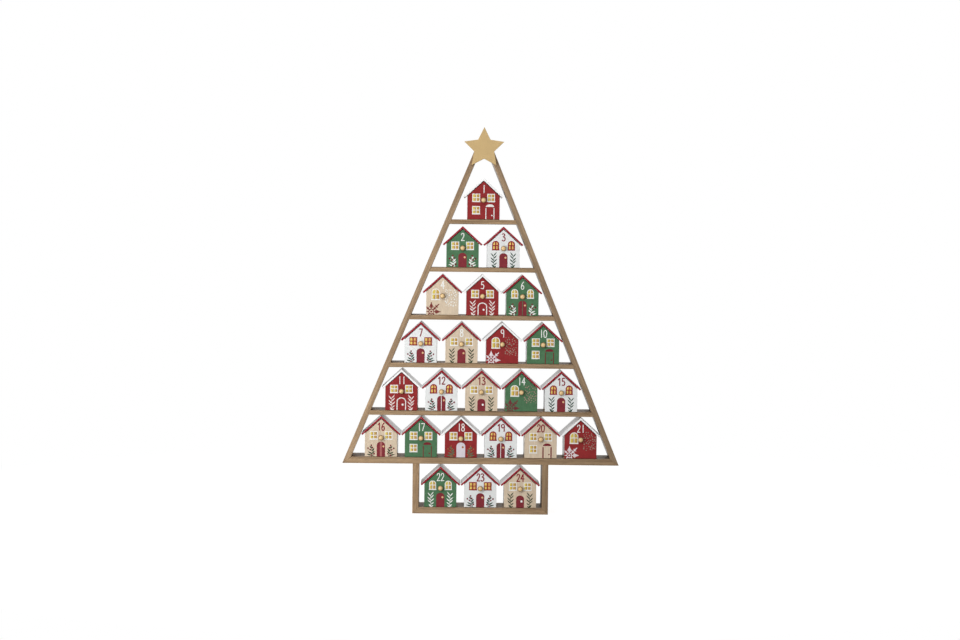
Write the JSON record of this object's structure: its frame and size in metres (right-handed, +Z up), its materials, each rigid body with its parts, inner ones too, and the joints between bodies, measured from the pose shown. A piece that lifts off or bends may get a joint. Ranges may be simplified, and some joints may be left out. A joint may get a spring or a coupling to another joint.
{
  "type": "advent calendar",
  "caption": "Tree-shaped wooden advent calendar: an open raked frame with shelves of small gabled houses, a pull-out drawer in each house, a trunk to stand on and a star at the top.",
  "frame": {"origin": "middle of the underside of the trunk floor, on the surface that the calendar stands on", "axes": "+Z up, -Y towards the front with the drawer fronts, +X to the right seen from the front"},
  "size_m": [0.3774, 0.06, 0.5271],
  "materials": {
    "frame_wood": "matt stained veneer",
    "star_gold": "gold paint, satin",
    "shell_natural": "matt natural",
    "shell_white": "matt paint",
    "front_natural": "matt natural, printed",
    "front_red": "matt paint, printed",
    "front_green": "matt paint, printed",
    "front_white": "matt paint, printed"
  },
  "bodies": {
    "frame": {"side_left": "frame_wood", "side_right": "frame_wood", "base_board": "frame_wood", "trunk_left": "frame_wood", "trunk_right": "frame_wood", "trunk_floor": "frame_wood", "star": "star_gold", "shelf_1": "frame_wood", "shelf_2": "frame_wood", "shelf_3": "frame_wood", "shelf_4": "frame_wood", "shelf_5": "frame_wood", "house_01_shell": "shell_white", "house_02_shell": "shell_white", "house_03_shell": "shell_white", "house_04_shell": "shell_natural", "house_05_shell": "shell_white", "house_06_shell": "shell_white", "house_07_shell": "shell_white", "house_08_shell": "shell_natural", "house_09_shell": "shell_white", "house_10_shell": "shell_white", "house_11_shell": "shell_white", "house_12_shell": "shell_white", "house_13_shell": "shell_natural", "house_14_shell": "shell_white", "house_15_shell": "shell_white", "house_16_shell": "shell_natural", "house_17_shell": "shell_white", "house_18_shell": "shell_white", "house_19_shell": "shell_white", "house_20_shell": "shell_natural", "house_21_shell": "shell_white", "house_22_shell": "shell_white", "house_23_shell": "shell_white", "house_24_shell": "shell_natural"},
    "drawer_01": {"house_01_drawer": "front_red"},
    "drawer_02": {"house_02_drawer": "front_green"},
    "drawer_03": {"house_03_drawer": "front_white"},
    "drawer_04": {"house_04_drawer": "front_natural"},
    "drawer_05": {"house_05_drawer": "front_red"},
    "drawer_06": {"house_06_drawer": "front_green"},
    "drawer_07": {"house_07_drawer": "front_white"},
    "drawer_08": {"house_08_drawer": "front_natural"},
    "drawer_09": {"house_09_drawer": "front_red"},
    "drawer_10": {"house_10_drawer": "front_green"},
    "drawer_11": {"house_11_drawer": "front_red"},
    "drawer_12": {"house_12_drawer": "front_white"},
    "drawer_13": {"house_13_drawer": "front_natural"},
    "drawer_14": {"house_14_drawer": "front_green"},
    "drawer_15": {"house_15_drawer": "front_white"},
    "drawer_16": {"house_16_drawer": "front_natural"},
    "drawer_17": {"house_17_drawer": "front_green"},
    "drawer_18": {"house_18_drawer": "front_red"},
    "drawer_19": {"house_19_drawer": "front_white"},
    "drawer_20": {"house_20_drawer": "front_natural"},
    "drawer_21": {"house_21_drawer": "front_red"},
    "drawer_22": {"house_22_drawer": "front_green"},
    "drawer_23": {"house_23_drawer": "front_white"},
    "drawer_24": {"house_24_drawer": "front_natural"}
  },
  "joints": [
    {"name": "drawer_01_slide", "type": "slide", "parent": "frame", "child": "drawer_01", "axis": [0, -1, 0], "range_m": [0, 0.047]},
    {"name": "drawer_02_slide", "type": "slide", "parent": "frame", "child": "drawer_02", "axis": [0, -1, 0], "range_m": [0, 0.047]},
    {"name": "drawer_03_slide", "type": "slide", "parent": "frame", "child": "drawer_03", "axis": [0, -1, 0], "range_m": [0, 0.047]},
    {"name": "drawer_04_slide", "type": "slide", "parent": "frame", "child": "drawer_04", "axis": [0, -1, 0], "range_m": [0, 0.047]},
    {"name": "drawer_05_slide", "type": "slide", "parent": "frame", "child": "drawer_05", "axis": [0, -1, 0], "range_m": [0, 0.047]},
    {"name": "drawer_06_slide", "type": "slide", "parent": "frame", "child": "drawer_06", "axis": [0, -1, 0], "range_m": [0, 0.047]},
    {"name": "drawer_07_slide", "type": "slide", "parent": "frame", "child": "drawer_07", "axis": [0, -1, 0], "range_m": [0, 0.047]},
    {"name": "drawer_08_slide", "type": "slide", "parent": "frame", "child": "drawer_08", "axis": [0, -1, 0], "range_m": [0, 0.047]},
    {"name": "drawer_09_slide", "type": "slide", "parent": "frame", "child": "drawer_09", "axis": [0, -1, 0], "range_m": [0, 0.047]},
    {"name": "drawer_10_slide", "type": "slide", "parent": "frame", "child": "drawer_10", "axis": [0, -1, 0], "range_m": [0, 0.047]},
    {"name": "drawer_11_slide", "type": "slide", "parent": "frame", "child": "drawer_11", "axis": [0, -1, 0], "range_m": [0, 0.047]},
    {"name": "drawer_12_slide", "type": "slide", "parent": "frame", "child": "drawer_12", "axis": [0, -1, 0], "range_m": [0, 0.047]},
    {"name": "drawer_13_slide", "type": "slide", "parent": "frame", "child": "drawer_13", "axis": [0, -1, 0], "range_m": [0, 0.047]},
    {"name": "drawer_14_slide", "type": "slide", "parent": "frame", "child": "drawer_14", "axis": [0, -1, 0], "range_m": [0, 0.047]},
    {"name": "drawer_15_slide", "type": "slide", "parent": "frame", "child": "drawer_15", "axis": [0, -1, 0], "range_m": [0, 0.047]},
    {"name": "drawer_16_slide", "type": "slide", "parent": "frame", "child": "drawer_16", "axis": [0, -1, 0], "range_m": [0, 0.047]},
    {"name": "drawer_17_slide", "type": "slide", "parent": "frame", "child": "drawer_17", "axis": [0, -1, 0], "range_m": [0, 0.047]},
    {"name": "drawer_18_slide", "type": "slide", "parent": "frame", "child": "drawer_18", "axis": [0, -1, 0], "range_m": [0, 0.047]},
    {"name": "drawer_19_slide", "type": "slide", "parent": "frame", "child": "drawer_19", "axis": [0, -1, 0], "range_m": [0, 0.047]},
    {"name": "drawer_20_slide", "type": "slide", "parent": "frame", "child": "drawer_20", "axis": [0, -1, 0], "range_m": [0, 0.047]},
    {"name": "drawer_21_slide", "type": "slide", "parent": "frame", "child": "drawer_21", "axis": [0, -1, 0], "range_m": [0, 0.047]},
    {"name": "drawer_22_slide", "type": "slide", "parent": "frame", "child": "drawer_22", "axis": [0, -1, 0], "range_m": [0, 0.047]},
    {"name": "drawer_23_slide", "type": "slide", "parent": "frame", "child": "drawer_23", "axis": [0, -1, 0], "range_m": [0, 0.047]},
    {"name": "drawer_24_slide", "type": "slide", "parent": "frame", "child": "drawer_24", "axis": [0, -1, 0], "range_m": [0, 0.047]}
  ]
}
